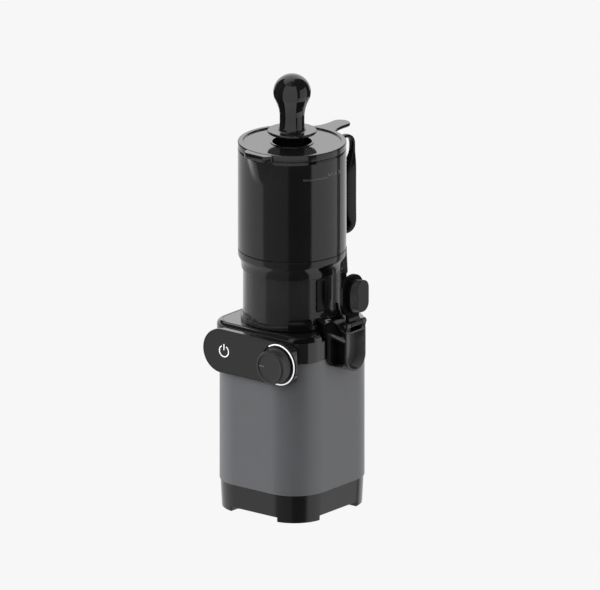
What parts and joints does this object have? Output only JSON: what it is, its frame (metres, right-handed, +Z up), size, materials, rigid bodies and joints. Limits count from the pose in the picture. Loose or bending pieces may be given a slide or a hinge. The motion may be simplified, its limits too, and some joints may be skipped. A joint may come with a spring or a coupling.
{
  "type": "cold press juicer",
  "caption": "Upright cold press juicer: grey motor base with knob panel, smoky bowl with auger and strainer, jug hopper with handle, lid and ball-handled pusher.",
  "frame": {"origin": "centre of the footprint on the surface that the rubber feet stand on, on the drive axis", "axes": "+Z up along the drive axis; -Y is the front with the control panel; +X is the side with the juice and pulp outlets; the hopper handle is at +Y"},
  "size_m": [0.148, 0.1907, 0.473],
  "materials": {
    "aluminium": "die cast",
    "black_plastic": "matte moulded",
    "board_green": "solder mask",
    "copper": "enamelled windings",
    "gear_nylon": "natural nylon",
    "gloss_black": "gloss moulded",
    "grey_housing": "satin soft-touch paint",
    "panel_black": "fine matt",
    "ring_trim": "bright",
    "rubber": "soft",
    "seal_grey": "silicone",
    "seal_red": "silicone",
    "smoke_bowl": "smoke-tinted clear plastic",
    "smoke_hopper": "dark smoke-tinted clear plastic",
    "steel": "machined",
    "white_print": "printed"
  },
  "bodies": {
    "base": {"base_tray": "black_plastic", "rubber_feet": "rubber", "base_screws": "steel", "motor_housing": "grey_housing", "power_inlet": "black_plastic", "power_board": "board_green", "top_cover": "gloss_black", "panel_pod": "panel_black", "panel_face": "panel_black", "power_symbol": "white_print", "knob_ring": "ring_trim", "control_board": "board_green", "rotary_switch": "black_plastic", "motor_end_lower": "aluminium", "motor_end_upper": "aluminium", "stator_core": "steel", "stator_windings": "copper", "motor_bolts": "steel", "motor_bearings": "steel", "gearbox_base": "aluminium", "ring_gear": "gear_nylon", "gearbox_cover": "aluminium", "gearbox_screws": "steel", "shaft_bearings": "steel", "shaft_seal": "rubber", "interlock_sensor": "black_plastic"},
    "selector": {"knob": "panel_black", "knob_pointer": "white_print", "knob_shaft": "steel"},
    "rotor": {"rotor_shaft": "steel", "rotor_core": "steel", "cooling_fan": "black_plastic", "sun_gear": "steel"},
    "first_carrier": {"carrier_1": "steel"},
    "output": {"carrier_2": "steel", "drive_shaft": "steel"},
    "planet1a": {"planet_1a": "gear_nylon"},
    "planet1b": {"planet_1b": "gear_nylon"},
    "planet1c": {"planet_1c": "gear_nylon"},
    "planet2a": {"planet_2a": "gear_nylon"},
    "planet2b": {"planet_2b": "gear_nylon"},
    "planet2c": {"planet_2c": "gear_nylon"},
    "bowl": {"juicing_bowl": "smoke_bowl", "bowl_seal": "seal_red", "interlock_magnet": "steel", "interlock_rail": "gloss_black", "strainer_frame": "black_plastic", "strainer_mesh": "steel", "juice_spout": "gloss_black", "pulp_chute": "gloss_black", "spout_hinge_pin": "steel"},
    "cap": {"spout_cap": "gloss_black"},
    "screw": {"auger": "black_plastic"},
    "hopper_unit": {"hopper_ring": "smoke_hopper", "hopper": "smoke_hopper", "hopper_gasket": "seal_grey", "hopper_handle": "gloss_black"},
    "lid_unit": {"lid": "gloss_black", "lid_guide": "gloss_black"},
    "pusher_unit": {"pusher": "gloss_black"}
  },
  "joints": [
    {"name": "selector_turn", "type": "hinge", "parent": "base", "child": "selector", "pos_m": [0.0385, -0.072, 0.1782], "axis": [0, 1, 0], "range_deg": [-45, 180]},
    {"name": "rotor_spin", "type": "hinge", "parent": "base", "child": "rotor", "pos_m": [0, 0, 0.08], "axis": [0, 0, 1], "continuous": true},
    {"name": "first_carrier_spin", "type": "hinge", "parent": "base", "child": "first_carrier", "pos_m": [0, 0, 0.134], "axis": [0, 0, 1], "continuous": true},
    {"name": "output_spin", "type": "hinge", "parent": "base", "child": "output", "pos_m": [0, 0, 0.16], "axis": [0, 0, 1], "continuous": true},
    {"name": "planet1a_spin", "type": "hinge", "parent": "first_carrier", "child": "planet1a", "pos_m": [0.01875, 0, 0.125], "axis": [0, 0, 1], "continuous": true},
    {"name": "planet1b_spin", "type": "hinge", "parent": "first_carrier", "child": "planet1b", "pos_m": [-0.00937, 0.01624, 0.125], "axis": [0, 0, 1], "continuous": true},
    {"name": "planet1c_spin", "type": "hinge", "parent": "first_carrier", "child": "planet1c", "pos_m": [-0.00937, -0.01624, 0.125], "axis": [0, 0, 1], "continuous": true},
    {"name": "planet2a_spin", "type": "hinge", "parent": "output", "child": "planet2a", "pos_m": [0.01875, 0, 0.145], "axis": [0, 0, 1], "continuous": true},
    {"name": "planet2b_spin", "type": "hinge", "parent": "output", "child": "planet2b", "pos_m": [-0.00937, 0.01624, 0.145], "axis": [0, 0, 1], "continuous": true},
    {"name": "planet2c_spin", "type": "hinge", "parent": "output", "child": "planet2c", "pos_m": [-0.00937, -0.01624, 0.145], "axis": [0, 0, 1], "continuous": true},
    {"name": "bowl_lift", "type": "slide", "parent": "base", "child": "bowl", "axis": [0, 0, 1], "range_m": [0, 0.06]},
    {"name": "auger_spin", "type": "hinge", "parent": "bowl", "child": "screw", "pos_m": [0, 0, 0.22], "axis": [0, 0, 1], "continuous": true},
    {"name": "cap_turn", "type": "hinge", "parent": "bowl", "child": "cap", "pos_m": [0.0753, 0.0115, 0.21075], "axis": [0, 1, 0], "range_deg": [0, 180]},
    {"name": "hopper_lift", "type": "slide", "parent": "bowl", "child": "hopper_unit", "axis": [0, 0, 1], "range_m": [0, 0.06]},
    {"name": "lid_lift", "type": "slide", "parent": "hopper_unit", "child": "lid_unit", "axis": [0, 0, 1], "range_m": [0, 0.12]},
    {"name": "pusher_slide", "type": "slide", "parent": "lid_unit", "child": "pusher_unit", "axis": [0, 0, 1], "range_m": [0, 0.073]}
  ],
  "couplings": [
    {"joint": "first_carrier_spin", "follows": "rotor_spin", "ratio": 0.2},
    {"joint": "output_spin", "follows": "rotor_spin", "ratio": 0.04},
    {"joint": "auger_spin", "follows": "rotor_spin", "ratio": 0.04},
    {"joint": "planet1a_spin", "follows": "rotor_spin", "ratio": -0.53333},
    {"joint": "planet1b_spin", "follows": "rotor_spin", "ratio": -0.53333},
    {"joint": "planet1c_spin", "follows": "rotor_spin", "ratio": -0.53333},
    {"joint": "planet2a_spin", "follows": "rotor_spin", "ratio": -0.10667},
    {"joint": "planet2b_spin", "follows": "rotor_spin", "ratio": -0.10667},
    {"joint": "planet2c_spin", "follows": "rotor_spin", "ratio": -0.10667}
  ]
}
